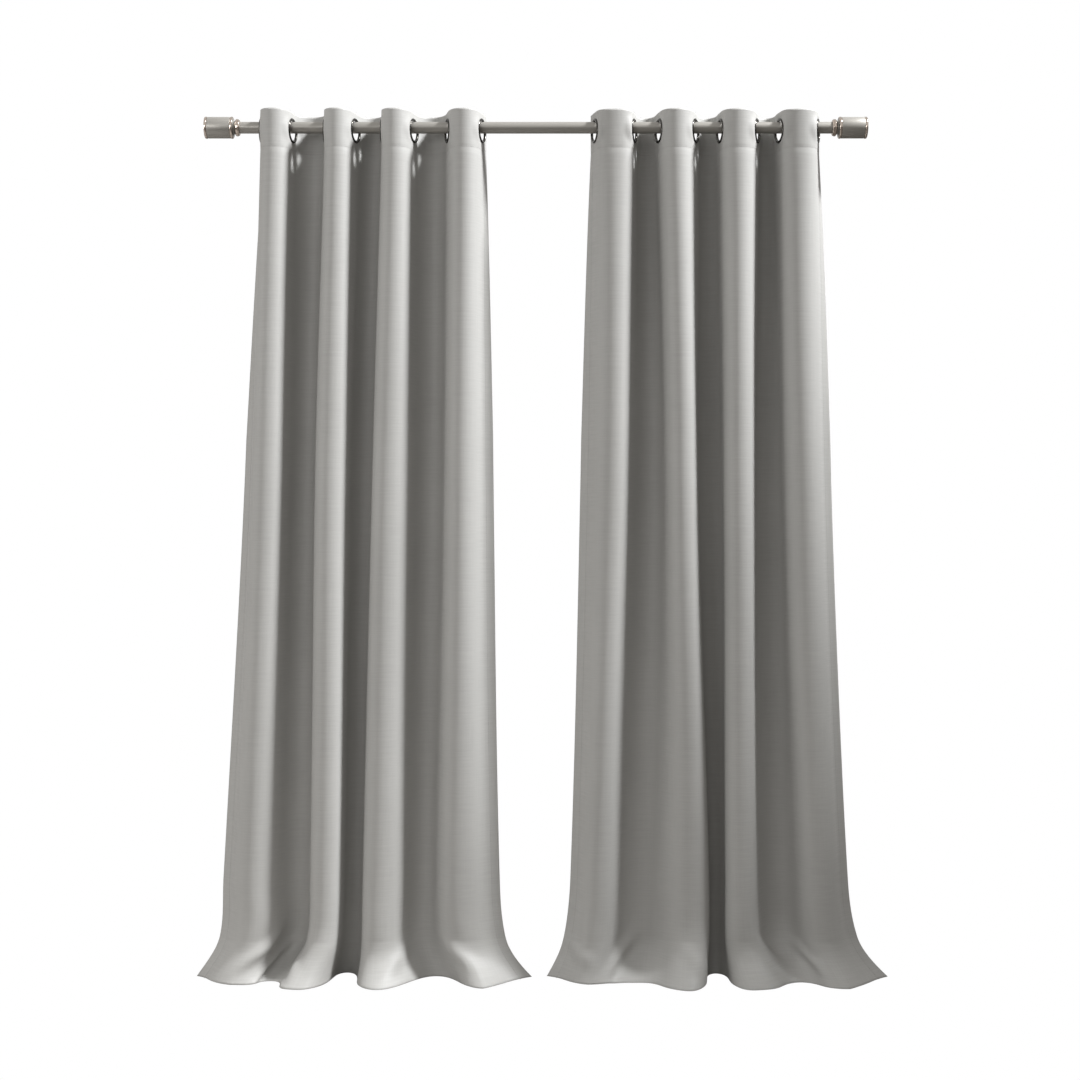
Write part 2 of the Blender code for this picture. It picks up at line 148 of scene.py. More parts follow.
# lines: where the cloth crosses the rod's plane at each level below the heading, one number for each
# grommet. lean: how far the folds lean sideways. leader: the grommet that a hand pulls. flanks: the
# angle, in degrees, at which the heading meets the rod at each grommet. feet: how far each fold runs out
# on the floor, crest and valley in turn. corners: how far the hem's corners fan out. creases: the folds
# at the foot, each its place across the cloth, height above the floor, slope, length, width and depth.
LEVELS = (HEADING_FOOT, -0.912, -1.843, -1.990, FLOOR)
PANELS = {
    "left": {
        "lean": math.radians(7),
        "leader": 8,
        "flanks": (88, 78, 89, 74, 90, 74, 77, 75),
        "feet": (0.030, 0.085, 0.076, 0.0, 0.084, 0.010, 0.066),
        "corners": (-0.010, 0.020),
        "creases": (
            (0.150, 0.080, 0.9, 0.060, 0.018, 0.006),
            (0.215, 0.050, 1.1, 0.045, 0.015, 0.005),
            (0.330, 0.045, -0.8, 0.040, 0.015, 0.003),
            (0.720, 0.050, 0.7, 0.050, 0.018, 0.003),
            (0.930, 0.065, -0.9, 0.055, 0.020, 0.004),
        ),
        "lines": (
            (-0.700, -0.613, -0.541, -0.460, -0.402, -0.307, -0.223, -0.130),
            (-0.744, -0.635, -0.551, -0.474, -0.423, -0.322, -0.236, -0.120),
            (-0.752, -0.638, -0.561, -0.482, -0.426, -0.325, -0.228, -0.106),
            (-0.798, -0.682, -0.618, -0.506, -0.434, -0.312, -0.186, -0.062),
        ),
    },
    "right": {
        "lean": math.radians(3),
        "leader": 1,
        "flanks": (76, 76, 77, 70, 80, 72, 77, 76),
        "feet": (0.024, 0.075, 0.084, 0.012, 0.084, 0.085, 0.074),
        "corners": (-0.016, 0.018),
        "creases": (
            (0.060, 0.070, -0.5, 0.050, 0.017, 0.003),
            (0.200, 0.065, 1.1, 0.055, 0.018, 0.006),
            (0.420, 0.050, -0.8, 0.045, 0.016, 0.003),
            (0.760, 0.065, -0.9, 0.055, 0.016, 0.005),
            (0.880, 0.060, -0.7, 0.050, 0.016, 0.004),
        ),
        "lines": (
            (0.133, 0.232, 0.319, 0.397, 0.460, 0.535, 0.609, 0.704),
            (0.108, 0.203, 0.318, 0.424, 0.464, 0.545, 0.642, 0.742),
            (0.094, 0.196, 0.318, 0.424, 0.464, 0.556, 0.656, 0.764),
            (0.070, 0.184, 0.304, 0.414, 0.474, 0.590, 0.692, 0.816),
        ),
    },
}

# How far a panel's hem trails behind its top when it is drawn, as a slope. The cloth stands still from a
# share of the panel's width outside its outer grommet.
HEM_TRAIL = 0.24
OUTER_LEAD = 0.1

# A stitch's thread covers this much of its length on each side of its middle
STITCH_REACH = 0.39

# Pieces that keep the frame's own shapes
FRAME_SHAPED = (
    "bracket_plate",
    "bracket_post",
    "bracket_cup",
    "bracket_screw",
    "rod_plug",
    "finial_stud",
)

# The stage. The floor is a little below the hems, because the creases press the cloth's edge down.
# The view is as wide as this at the camera's distance.
FLOOR_SIZE, FLOOR_GAP = 60, 0.0015
HORIZON = 0.1
SENSOR_WIDTH = 36
VIEW_WIDTH = 2.646
CAMERA_ASIDE, CAMERA_DROP = 0.010, 1.010
KEY_PLACE, KEY_TARGET = (5.29, -1.14, 5.64), (-0.15, -0.09, 1.08)
KEY_CONE, KEY_CONE_EDGE, KEY_SIZE = math.radians(34), 0.3, 0.6
FILL_TARGET = (-0.2, ROD_CENTRE.y, -0.8)
# Each soft light's place, size and share of the fill's power
FILLS = {
    "side_fill": ((-3.77, -1.77, -0.10), (1.2, 1.8), 0.58),
    "front_fill": ((-2.13, -3.45, 0.24), (1.4, 1.4), 0.42),
}


def linear(code):
    """The linear RGBA of an sRGB hex colour."""
    values = [int(code[i : i + 2], 16) / 255 for i in (0, 2, 4)]
    return tuple(v / 12.92 if v <= 0.04045 else ((v + 0.055) / 1.055) ** 2.4 for v in values) + (1.0,)


# Settings --------------------------------------------------------------------------------------------


class ClothSettings(bpy.types.PropertyGroup):
    thickness: FloatProperty(
        name="Cloth thickness",
        description="Face cloth and lining together",
        default=0.0011,
        unit="LENGTH",
    )
    face_colour: FloatVectorProperty(
        name="Face colour",
        description="Dyed polyester yarn",
        size=4,
        default=linear("A3A29F"),
        subtype="COLOR",
    )
    lining_colour: FloatVectorProperty(
        name="Lining colour",
        description="Foam-coated back",
        size=4,
        default=linear("A8A7A4"),
        subtype="COLOR",
    )
    columns: IntProperty(name="Columns", description="Columns of the sheet for each pleat", default=26)
    stitch_length: FloatProperty(
        name="Stitch length", description="From one stitch to the next", default=0.0045, unit="LENGTH"
    )
    stitch_width: FloatProperty(
        name="Thread width", description="Across the sewing thread", default=0.0008, unit="LENGTH"
    )


class HardwareSettings(bpy.types.PropertyGroup):
    pewter: FloatVectorProperty(
        name="Pewter", description="Lacquered steel", size=4, default=linear("A29F99"), subtype="COLOR"
    )
    nickel: FloatVectorProperty(
        name="Nickel", description="Polished plating", size=4, default=linear("D8CBC0"), subtype="COLOR"
    )
    dark_nickel: FloatVectorProperty(
        name="Antique nickel",
        description="Grommet plating",
        size=4,
        default=linear("4A4845"),
        subtype="COLOR",
    )
    turning_steps: IntProperty(
        name="Turning steps", description="Facets round a turned piece", default=72
    )


class StageSettings(bpy.types.PropertyGroup):
    distance: FloatProperty(
        name="Camera distance", description="From the rod's plane", default=4.25, unit="LENGTH"
    )
    key: FloatProperty(
        name="Key light", description="Power of the spot on the right", default=7300.0, unit="POWER"
    )
    fill: FloatProperty(
        name="Fill light", description="Power of the soft lights on the left", default=60.0, unit="POWER"
    )
    ambient: FloatProperty(name="Ambient", description="Strength of the light from above", default=0.63)


# Nodes and materials ---------------------------------------------------------------------------------


def add_node(tree, kind, links=None, **settings):
    """Adds a node. A link's value is an output socket to join, or a plain value for that input."""
    node = tree.nodes.new(kind)
    for name, value in settings.items():
        setattr(node, name, value)
    for socket, value in (links or {}).items():
        if isinstance(value, bpy.types.NodeSocket):
            tree.links.new(value, node.inputs[socket])
        else:
            node.inputs[socket].default_value = value
    return node


def new_material(name):
    material = bpy.data.materials.new(name)
    material.use_nodes = True
    tree = material.node_tree
    return material, tree, tree.nodes["Principled BSDF"]


def set_inputs(shader, **values):
    for name, value in values.items():
        shader.inputs[name.replace("_", " ")].default_value = value


def stretched_noise(tree, vector, scale, detail=2.0, roughness=0.5):
    """Noise on the cloth's own metres, with a scale in cycles a metre across and down the cloth."""
    mapping = add_node(tree, "ShaderNodeMapping", {"Vector": vector, "Scale": (*scale, 1)})
    return add_node(
        tree,
        "ShaderNodeTexNoise",
        {"Vector": mapping.outputs[0], "Scale": 1.0, "Detail": detail, "Roughness": roughness},
        noise_dimensions="2D",
    )


def between(value, low, high, to_low, to_high):
    """The inputs that turn one range of a value into another, for a Map Range node."""
    return {"Value": value, "From Min": low, "From Max": high, "To Min": to_low, "To Max": to_high}


def vary(tree, shader, pattern, colour=None, shades=None, roughness=None, bump=None):
    """Lets a pattern, which is mostly from 0.3 to 0.7, shade the colour, turn the roughness from one value
    to another, and raise the surface with a strength and a depth."""
    if shades:
        shade = add_node(tree, "ShaderNodeMapRange", between(pattern, 0.3, 0.7, *shades)).outputs[0]
        tint_base(tree, shader, colour, shade)
    if roughness:
        rough = add_node(tree, "ShaderNodeMapRange", between(pattern, 0.3, 0.7, *roughness))
        tree.links.new(rough.outputs[0], shader.inputs["Roughness"])
    if bump:
        raised = {"Height": pattern, "Strength": bump[0], "Distance": bump[1]}
        tree.links.new(add_node(tree, "ShaderNodeBump", raised).outputs[0], shader.inputs["Normal"])


def tint_base(tree, shader, colour, shade):
    """The colour, lighter and darker with the shade, as the shader's own colour."""
    parts = {0: tuple(colour)[:3], 3: shade}
    tint = add_node(tree, "ShaderNodeVectorMath", parts, operation="SCALE")
    tree.links.new(tint.outputs[0], shader.inputs["Base Color"])


def polyester_slub_weave(settings):
    """Polyester blackout face cloth, woven with slub yarn in the weft: soft satin glow across the folds
    and short thicker threads that run across the panel."""
    material, tree, shader = new_material("polyester_slub_weave")
    cloth = add_node(tree, "ShaderNodeUVMap", uv_map="cloth").outputs[0]
    # A slub is 30 to 90 mm long. Its yarn is under 1 mm thick, and is drawn 2.4 mm thick to show
    slub = stretched_noise(tree, cloth, (14, 420), 3.0, 0.65).outputs[0]
    # The warp's threads are drawn 2 mm thick, and the dye is uneven over about 0.2 m
    warp = stretched_noise(tree, cloth, (500, 9), 2.0, 0.6).outputs[0]
    dye = stretched_noise(tree, cloth, (5, 4), 3.0, 0.5).outputs[0]
    shade = None
    for pattern, spread in (
        (slub, (0.35, 0.65, 0.97, 1.03)),
        (warp, (0.3, 0.7, 0.98, 1.02)),
        (dye, (0.3, 0.7, 0.98, 1.02)),
    ):
        own = add_node(tree, "ShaderNodeMapRange", between(pattern, *spread)).outputs[0]
        if shade is not None:
            own = add_node(tree, "ShaderNodeMath", {0: shade, 1: own}, operation="MULTIPLY").outputs[0]
        shade = own
    tint_base(tree, shader, settings.face_colour, shade)
    thread = add_node(tree, "ShaderNodeMath", {0: slub, 1: warp}, operation="ADD").outputs[0]
    vary(tree, shader, thread, bump=(0.25, 0.0004))
    vary(tree, shader, slub, roughness=(0.60, 0.50))
    set_inputs(shader, Sheen_Weight=0.12, Sheen_Roughness=0.35, Specular_IOR_Level=0.4)
    return material


def foam_coated_lining(settings):
    """The blackout back: foam-coated woven polyester, duller and a little lighter than the face."""
    material, tree, shader = new_material("foam_coated_lining")
    cloth = add_node(tree, "ShaderNodeUVMap", uv_map="cloth").outputs[0]
    # The coating's grain is about 2.4 mm across
    grain = stretched_noise(tree, cloth, (420, 420), 2.0, 0.6).outputs[0]
    vary(tree, shader, grain, settings.lining_colour, shades=(0.96, 1.03), bump=(0.25, 0.0004))
    set_inputs(shader, Roughness=0.8, Specular_IOR_Level=0.25)
    return material


def metal(name, colour, roughness, grain, metallic):
    """Metal with a fine turned or rubbed grain round the rod's axis. The grain is its cycles a metre
    along X and round the piece."""
    material, tree, shader = new_material(name)
    place = add_node(tree, "ShaderNodeTexCoord").outputs["Object"]
    mapping = add_node(tree, "ShaderNodeMapping", {"Vector": place, "Scale": grain})
    pattern = {"Vector": mapping.outputs[0], "Scale": 1.0, "Detail": 3.0}
    rubbed = add_node(tree, "ShaderNodeTexNoise", pattern).outputs[0]
    rough = (roughness * 0.92, roughness * 1.1)
    vary(tree, shader, rubbed, colour, (0.975, 1.02), rough, bump=(0.04, 0.00005))
    set_inputs(shader, Metallic=metallic)
    return material


def moulded_plastic():
    """Dark moulded plastic with a fine spark-eroded grain."""
    material, tree, shader = new_material("moulded_plastic")
    place = add_node(tree, "ShaderNodeTexCoord").outputs["Object"]
    pattern = {"Vector": place, "Scale": 1500.0, "Detail": 2.0}
    grain = add_node(tree, "ShaderNodeTexNoise", pattern).outputs[0]
    vary(tree, shader, grain, roughness=(0.45, 0.6), bump=(0.2, 0.0002))
    set_inputs(shader, Base_Color=linear("3A3A3A"))
    return material


def sewing_thread(settings):
    """Spun polyester thread, a shade darker than the cloth."""
    material, tree, shader = new_material("sewing_thread")
    place = add_node(tree, "ShaderNodeTexCoord").outputs["Object"]
    pattern = {"Vector": place, "Scale": 900.0, "Detail": 1.0}
    twist = add_node(tree, "ShaderNodeTexNoise", pattern).outputs[0]
    vary(tree, shader, twist, settings.face_colour, shades=(0.68, 0.82))
    set_inputs(shader, Roughness=0.7, Sheen_Weight=0.2)
    return material


def material_named(name, make):
    """The material of that name, made the first time it is asked for."""
    return bpy.data.materials.get(name) or make()


def hardware_material(slot):
    """The finished material for one of the record's slots."""
    settings = bpy.context.scene.curtain_hardware
    # Each metal's name, colour, roughness, grain and metallic share
    metals = {
        # Steel under a satin lacquer: broad soft highlights along the rod
        "brushed_pewter": ("pewter_lacquered_steel", settings.pewter, 0.38, (60, 900, 900), 0.6),
        # Buffed plating: clear, slightly warm reflections
        "polished_nickel": ("polished_nickel_plate", settings.nickel, 0.10, (300, 300, 300), 1.0),
        # Darkened plating: near black, with a bright line round each ring
        "antique_nickel": ("antique_nickel_plate", settings.dark_nickel, 0.22, (220, 220, 220), 1.0),
        # Bare plating, out of sight: pale and dull
        "zinc_steel": ("zinc_plated_steel", linear("BFBFBC"), 0.4, (400, 400, 400), 1.0),
    }
    if slot == "grey_plastic":
        return material_named("moulded_plastic", moulded_plastic)
    return material_named(metals[slot][0], lambda: metal(*metals[slot]))


# Meshes ----------------------------------------------------------------------------------------------


def finished(thing, name, material):
    """The evaluated object as a plain mesh at the origin, with its modifiers and its place applied."""
    bpy.context.view_layer.update()
    graph = bpy.context.evaluated_depsgraph_get()
    mesh = bpy.data.meshes.new_from_object(thing.evaluated_get(graph))
    mesh.transform(thing.matrix_world)
    bpy.data.objects.remove(thing)
    mesh.name = name
    mesh.materials.clear()
    mesh.materials.append(material)
    piece = bpy.data.objects.new(name, mesh)
    bpy.context.scene.collection.objects.link(piece)
    return piece


def turned(name, profile, material, matrix, closed=True):
    """A turned piece. The profile lists (radius, height) points down its outer side and back up its
    inner side. An open profile starts and ends on the axis."""
    mesh = bpy.data.meshes.new(name)
    count = len(profile)
    edges = [(i, (i + 1) % count) for i in range(count if closed else count - 1)]
    mesh.from_pydata([(radius, 0, height) for radius, height in profile], edges, [])
    thing = bpy.data.objects.new(name + "_profile", mesh)
    bpy.context.scene.collection.objects.link(thing)
    thing.matrix_world = matrix
    screw = thing.modifiers.new("Turn", "SCREW")
    steps = bpy.context.scene.curtain_hardware.turning_steps
    screw.steps = screw.render_steps = steps
    screw.use_merge_vertices = True
    screw.merge_threshold = 1e-5
    piece = finished(thing, name, material)
    piece.data.shade_smooth()
    piece.data.set_sharp_from_angle(angle=math.radians(50))
    return piece


def stand_for(piece, body, node):
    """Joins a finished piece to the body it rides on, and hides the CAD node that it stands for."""
    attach(piece, body)
    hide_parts(node)


def arc(centre, radius, start, end, points=6):
    """Points (radius, height) along a round corner, with angles in degrees from the outward side."""
    found = []
    for i in range(points):
        angle = math.radians(start + (end - start) * i / (points - 1))
        found.append((centre[0] + radius * math.cos(angle), centre[1] + radius * math.sin(angle)))
    return found


def vertices(node):
    mesh = frame["nodes"][node].data
    points = np.empty(len(mesh.vertices) * 3, np.float32)
    mesh.vertices.foreach_get("co", points)
    return points.reshape(-1, 3).astype(float)


def middle(node):
    """The middle of a turned CAD node, which lies on its axis."""
    points = np.unique(np.round(vertices(node), 6), axis=0)
    return Vector(points.mean(axis=0))


# The cloth's cross-section ---------------------------------------------------------------------------

# The middles of the steps along a loop, as shares of its length
SHARES = (np.arange(LOOP_POINTS) + 0.5) / LOOP_POINTS


def grommet_places(side):
    return np.array([middle(f"{side}_grommet_{k}_face").x for k in range(1, GROMMETS + 1)])


def between_levels(columns, z):
    """A smooth curve through one column of values for each level, read at the height z."""
    if z >= LEVELS[0]:
        return np.array(columns[0])
    last = len(LEVELS) - 1
    slopes = []
    for i in range(len(LEVELS)):
        above, below = max(i - 1, 0), min(i + 1, last)
        slopes.append((columns[below] - columns[above]) / (LEVELS[below] - LEVELS[above]))
    i = max(k for k in range(last) if z <= LEVELS[k])
    span = LEVELS[i + 1] - LEVELS[i]
    t = min((z - LEVELS[i]) / span, 1)
    ease = t * t * (3 - 2 * t)
    bow = slopes[i] * t * (1 - t) ** 2 - slopes[i + 1] * t * t * (1 - t)
    return columns[i] + (columns[i + 1] - columns[i]) * ease + span * bow


def loop_turn(share, flat):
    """How far round its bend a loop is, from 0 to 1. The cloth is flat for a share at each end."""
    return np.clip((share - flat) / (1 - 2 * flat), 0, 1)


def crossing_angle(chord, flat):
    """The angle to the rod at which a loop of even curvature leaves and meets the rod's plane."""
    low, high = 0.0, math.pi / 2
    bend = np.cos(math.pi * loop_turn(SHARES, flat))
    for _ in range(30):
        half = (low + high) / 2
        if GROMMET_PITCH * np.cos(half * bend).mean() > chord:
            low = half
        else:
            high = half
    return low


def loop_angles(share, flat, side, first, last, opening, drift):
    """The cloth's direction along one loop: side is 1 for a crest and -1 for a valley."""
    turn = loop_turn(share, flat)
    swing = first + (last - first) * turn
    angle = swing * np.cos(math.pi * turn) + opening * np.sin(2 * math.pi * turn)
    return side * angle + drift * np.sin(math.pi * turn) ** 2


def solved_loop(chord, flat, side, first, last):
    """The opening and drift with which a loop of the cloth's own length spans the chord."""
    state = np.zeros(2)

    def misses(values):
        angle = loop_angles(SHARES, flat, side, first, last, *values)
        return np.array([np.cos(angle).mean() - chord / GROMMET_PITCH, np.sin(angle).mean()])

    for _ in range(12):
        miss = misses(state)
        step = 1e-5
        slope = np.array([(misses(state + step * axis) - miss) / step for axis in np.eye(2)]).T
        state = state - np.clip(np.linalg.solve(slope, miss), -0.4, 0.4)
    return state


def faded(z):
    """0 in the heading, and 1 where the heading's stiffness no longer shows."""
    return min(max((HEADING_FOOT - z) / HEADING_FADE, 0), 1)


def crossings(side, z):
    """At the height z: where the cloth crosses the rod's plane, its flat share there, and its angle to
    the rod at each crossing."""
    shape = PANELS[side]
    lines = between_levels([grommet_places(side), *(np.array(line) for line in shape["lines"])], z)
    flat = FLAT_SHARE * (1 - faded(z))
    chords = np.diff(lines)
    mean = np.concatenate([chords[:1], (chords[1:] + chords[:-1]) / 2, chords[-1:]])
    hanging = np.array([crossing_angle(chord, flat) for chord in mean])
    hanging[0::2] += shape["lean"]
    hanging[1::2] -= shape["lean"]
    return lines, flat, np.radians(shape["flanks"]) * (1 - faded(z)) + hanging * faded(z)


def walk(start, directions, length):
    """Points reached from the start by steps of one length in the given directions."""
    steps = np.stack([np.cos(directions), -np.sin(directions)], 1) * length
    return start + np.cumsum(steps, axis=0)


def section(side, z):
    """The cross-section at the height z: places along the cloth's width, and its (x, y) at each."""
    lines, flat, angles = crossings(side, z)
    margin = np.linspace(0, SIDE_MARGIN, MARGIN_POINTS)
    middles = (margin[1:] + margin[:-1]) / 2
    ease = 1 - MARGIN_TURN * faded(z) * (middles / SIDE_MARGIN) ** MARGIN_TURN_POWER
    start = np.array([lines[0], 0.0])
    along = [walk(start, angles[0] * ease + math.pi, margin[1])[::-1], start[None, :]]
    at = [SIDE_MARGIN - margin[:0:-1], [SIDE_MARGIN]]
    step = GROMMET_PITCH / len(SHARES)
    for k in range(GROMMETS - 1):
        bend = 1 if k % 2 == 0 else -1
        pair = (angles[k], angles[k + 1])
        opening, drift = solved_loop(lines[k + 1] - lines[k], flat, bend, *pair)
        directions = loop_angles(SHARES, flat, bend, *pair, opening, drift)
        along.append(walk(np.array([lines[k], 0.0]), directions, step))
        at.append(SIDE_MARGIN + GROMMET_PITCH * k + step * np.arange(1, len(SHARES) + 1))
    along.append(walk(np.array([lines[-1], 0.0]), -angles[-1] * ease, margin[1]))
    at.append(FLAT_WIDTH - SIDE_MARGIN + margin[1:])
    return np.concatenate(at), np.concatenate(along)


def hem_break(side, across, points, z):
    """Near the floor the folds run out into the room and the hem's corners fan out sideways. The break
    starts a little higher in some places than in others."""
    wave = np.sin(2 * math.pi * (BREAK_CYCLES * across + BREAK_TURN))
    start = BREAK_HEIGHT * (BREAK_MEAN + BREAK_SPREAD * wave)
    near = np.clip((FLOOR + start - z) / start, 0, 1)
    place = (across - SIDE_MARGIN) / GROMMET_PITCH - 0.5
    loop = np.clip(np.floor(place), 0, GROMMETS - 3).astype(int)
    share = np.clip(place - loop, 0, 1)
    feet = np.array(PANELS[side]["feet"])
    reach = feet[loop] + (feet[loop + 1] - feet[loop]) * share * share * (3 - 2 * share)
    edge = np.minimum(across, FLAT_WIDTH - across) / (SIDE_MARGIN + GROMMET_PITCH / 2)
    out = points.copy()
    out[:, 1] -= near**BREAK_POWER * reach * np.clip(edge, 0, 1)
    left, right = PANELS[side]["corners"]
    fan = left * np.clip(1 - across / FAN_REACH, 0, 1) ** 1.5
    fan += right * np.clip(1 - (FLAT_WIDTH - across) / FAN_REACH, 0, 1) ** 1.5
    out[:, 0] += near**FAN_POWER * fan
    return out


def slack(side, across, z):
    """The cloth's small irregular swells, which run down the folds and are slight in the heading, and its
    creases at the foot."""
    draw = np.random.default_rng(7 if side == "left" else 11)
    swell = np.zeros_like(across)
    for _ in range(SWELLS):
        cycles, fall = draw.uniform(4, 16), draw.uniform(-1.1, 1.1)
        turn, size = draw.uniform(0, 2 * math.pi), draw.uniform(0.4, 1.0)
        swell += size * np.sin(2 * math.pi * (cycles * across + fall * z) + turn) * (6 / (cycles + 3))
    shown = HEADING_SWELL + (1 - HEADING_SWELL) * faded(z) ** 0.5
    return SWELL_SIZE * swell * shown + foot_creases(side, across, z)


def foot_creases(side, across, z):
    """Short slanting folds where the hem's weight rests on the floor."""
    raised = np.zeros_like(across)
    for place, height, slope, length, width, depth in PANELS[side]["creases"]:
        tilt = math.atan(slope)
        right, up = across - place, z - FLOOR - height
        along = right * math.cos(tilt) + up * math.sin(tilt)
        aside = up * math.cos(tilt) - right * math.sin(tilt)
        ridge = (1 - (aside / width) ** 2) * np.exp(-((aside / width) ** 2) / 2)
        raised += depth * ridge * np.exp(-((along / length) ** 2))
    return raised


def row_heights():
    """The heights of the sheet's rows, from the top down: closest in the heading and at the foot."""
    heading = np.arange(CLOTH_TOP, HEADING_FOOT, -HEADING_ROW_STEP)
    body = np.linspace(HEADING_FOOT, FLOOR + BREAK_HEIGHT, BODY_ROWS)
    foot = np.linspace(FLOOR + BREAK_HEIGHT, FLOOR + LOWEST_ROW, FOOT_ROWS)[1:]
    return np.concatenate([heading, body, foot])


def column_places(settings):
    """Where the sheet's columns lie across the flat cloth."""
    per_loop = settings.columns
    loops = SIDE_MARGIN + GROMMET_PITCH * np.arange((GROMMETS - 1) * per_loop + 1) / per_loop
    margin = np.linspace(0, SIDE_MARGIN, MARGIN_COLUMNS)[:-1]
    return np.concatenate([margin, loops, FLAT_WIDTH - margin[::-1]])


def seam_groove(across, z):
    """How far the cloth is pulled in at the heading seam, the side hems' stitching and the hem."""
    edge = np.minimum(across, FLAT_WIDTH - across)
    seams = (
        (z - HEADING_SEAM, HEADING_GROOVE),
        (edge - SIDE_HEM, SIDE_GROOVE),
        (z - FLOOR - HEM_DEPTH, HEM_GROOVE),
    )
    return sum(depth * np.exp(-((away / width) ** 2)) for away, (depth, width) in seams)


def flatten_at_rings(side, points, across, heights):
    """Holds the cloth flat in each grommet, in the plane of its ring."""
    lines, _, angles = crossings(side, 0)
    level = middle(f"{side}_grommet_1_face").z
    down = heights[:, None] - level
    for k, (x, angle) in enumerate(zip(lines, angles)):
        heading = angle if k % 2 == 0 else -angle
        along = across[None, :] - (SIDE_MARGIN + GROMMET_PITCH * k)
        away = np.hypot(along, down) - RING_RADIUS - RING_CLEARANCE
        far = np.clip(away / RING_EASE, 0, 1)
        hold = 1 - far * far * (3 - 2 * far)
        flat_x = x + along * math.cos(heading)
        flat_y = ROD_CENTRE.y - along * math.sin(heading)
        points[:, :, 0] += hold * (flat_x - points[:, :, 0])
        points[:, :, 1] += hold * (flat_y - points[:, :, 1])


def cloth_rows(side, settings):
    """The sheet's grid of points, its places on the flat cloth, and its outward normals."""
    across = column_places(settings)
    heights = row_heights()
    points = np.zeros((len(heights), len(across), 3))
    for r, z in enumerate(heights):
        at, line = section(side, z)
        places = np.stack([np.interp(across, at, line[:, axis]) for axis in (0, 1)], 1)
        points[r, :, :2] = hem_break(side, across, places, z)
        points[r, :, 1] += ROD_CENTRE.y
        points[r, :, 2] = z
    rise = np.gradient(points, axis=0)
    normals = np.cross(rise, np.gradient(points, axis=1))
    normals /= np.linalg.norm(normals, axis=2)[:, :, None]
    swell = np.array([slack(side, across, z) for z in heights])
    points += normals * (swell - seam_groove(across[None, :], heights[:, None]))[:, :, None]
    flatten_at_rings(side, points, across, heights)
    return points, across, heights, normals


def cloth_mesh(name, points, across, heights, grommet_height):
    """The grid as a mesh with a round hole at each grommet and the flat cloth as its UV map."""
    rows, count = points.shape[:2]
    centres = SIDE_MARGIN + GROMMET_PITCH * np.arange(GROMMETS)
    flat = np.stack(np.meshgrid(across, heights), 2)
    index = np.arange(rows * count).reshape(rows, count)
    quads = np.stack([index[1:, :-1], index[1:, 1:], index[:-1, 1:], index[:-1, :-1]], 2).reshape(-1, 4)
    places = flat.reshape(-1, 2)
    middles = places[quads].mean(axis=1)
    keep = np.ones(len(quads), bool)
    for centre in centres:
        keep &= np.hypot(middles[:, 0] - centre, middles[:, 1] - grommet_height) > CLOTH_HOLE
    cut = set(quads[~keep].ravel()) & set(quads[keep].ravel())
    quads = quads[keep]
    ring_row = points[np.abs(heights - grommet_height).argmin()].copy()
    for v in cut:
        s, z = places[v]
        centre = centres[np.abs(centres - s).argmin()]
        offset = np.array([s - centre, z - grommet_height])
        s, z = np.array([centre, grommet_height]) + offset * CLOTH_HOLE / np.linalg.norm(offset)
        places[v] = (s, z)
        x, y = (np.interp(s, across, ring_row[:, axis]) for axis in (0, 1))
        points.reshape(-1, 3)[v] = (x, y, z)
    used, renumbered = np.unique(quads, return_inverse=True)
    mesh = bpy.data.meshes.new(name)
    mesh.from_pydata(points.reshape(-1, 3)[used].tolist(), [], renumbered.reshape(-1, 4).tolist())
    uv = mesh.uv_layers.new(name="cloth")
    corner = np.empty(len(mesh.loops), np.int32)
    mesh.loops.foreach_get("vertex_index", corner)
    uv.data.foreach_set("uv", places[used][corner].astype(np.float32).ravel())
    mesh.shade_smooth()
    return mesh


def draw_span(side):
    """The line along which a panel's cloth would go from standing still to moving with its lead grommet.
    It is tilted, so that the hem would trail. Nothing in this script moves the cloth along it."""
    places = grommet_places(side)
    sign = -1 if side == "left" else 1
    outer, inner = (places[0], places[-1]) if side == "left" else (places[-1], places[0])
    spread = abs(outer - inner)
    start = Vector((outer + sign * OUTER_LEAD * spread, ROD_CENTRE.y, middle(f"{side}_grommet_1_face").z))
    length = (1 + OUTER_LEAD) * spread
    shrink = 1 + HEM_TRAIL**2
    return start, start + Vector((-sign * length / shrink, 0, HEM_TRAIL * length / shrink))


def draw_with(piece, side):
    start, end = draw_span(side)
    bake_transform(piece)


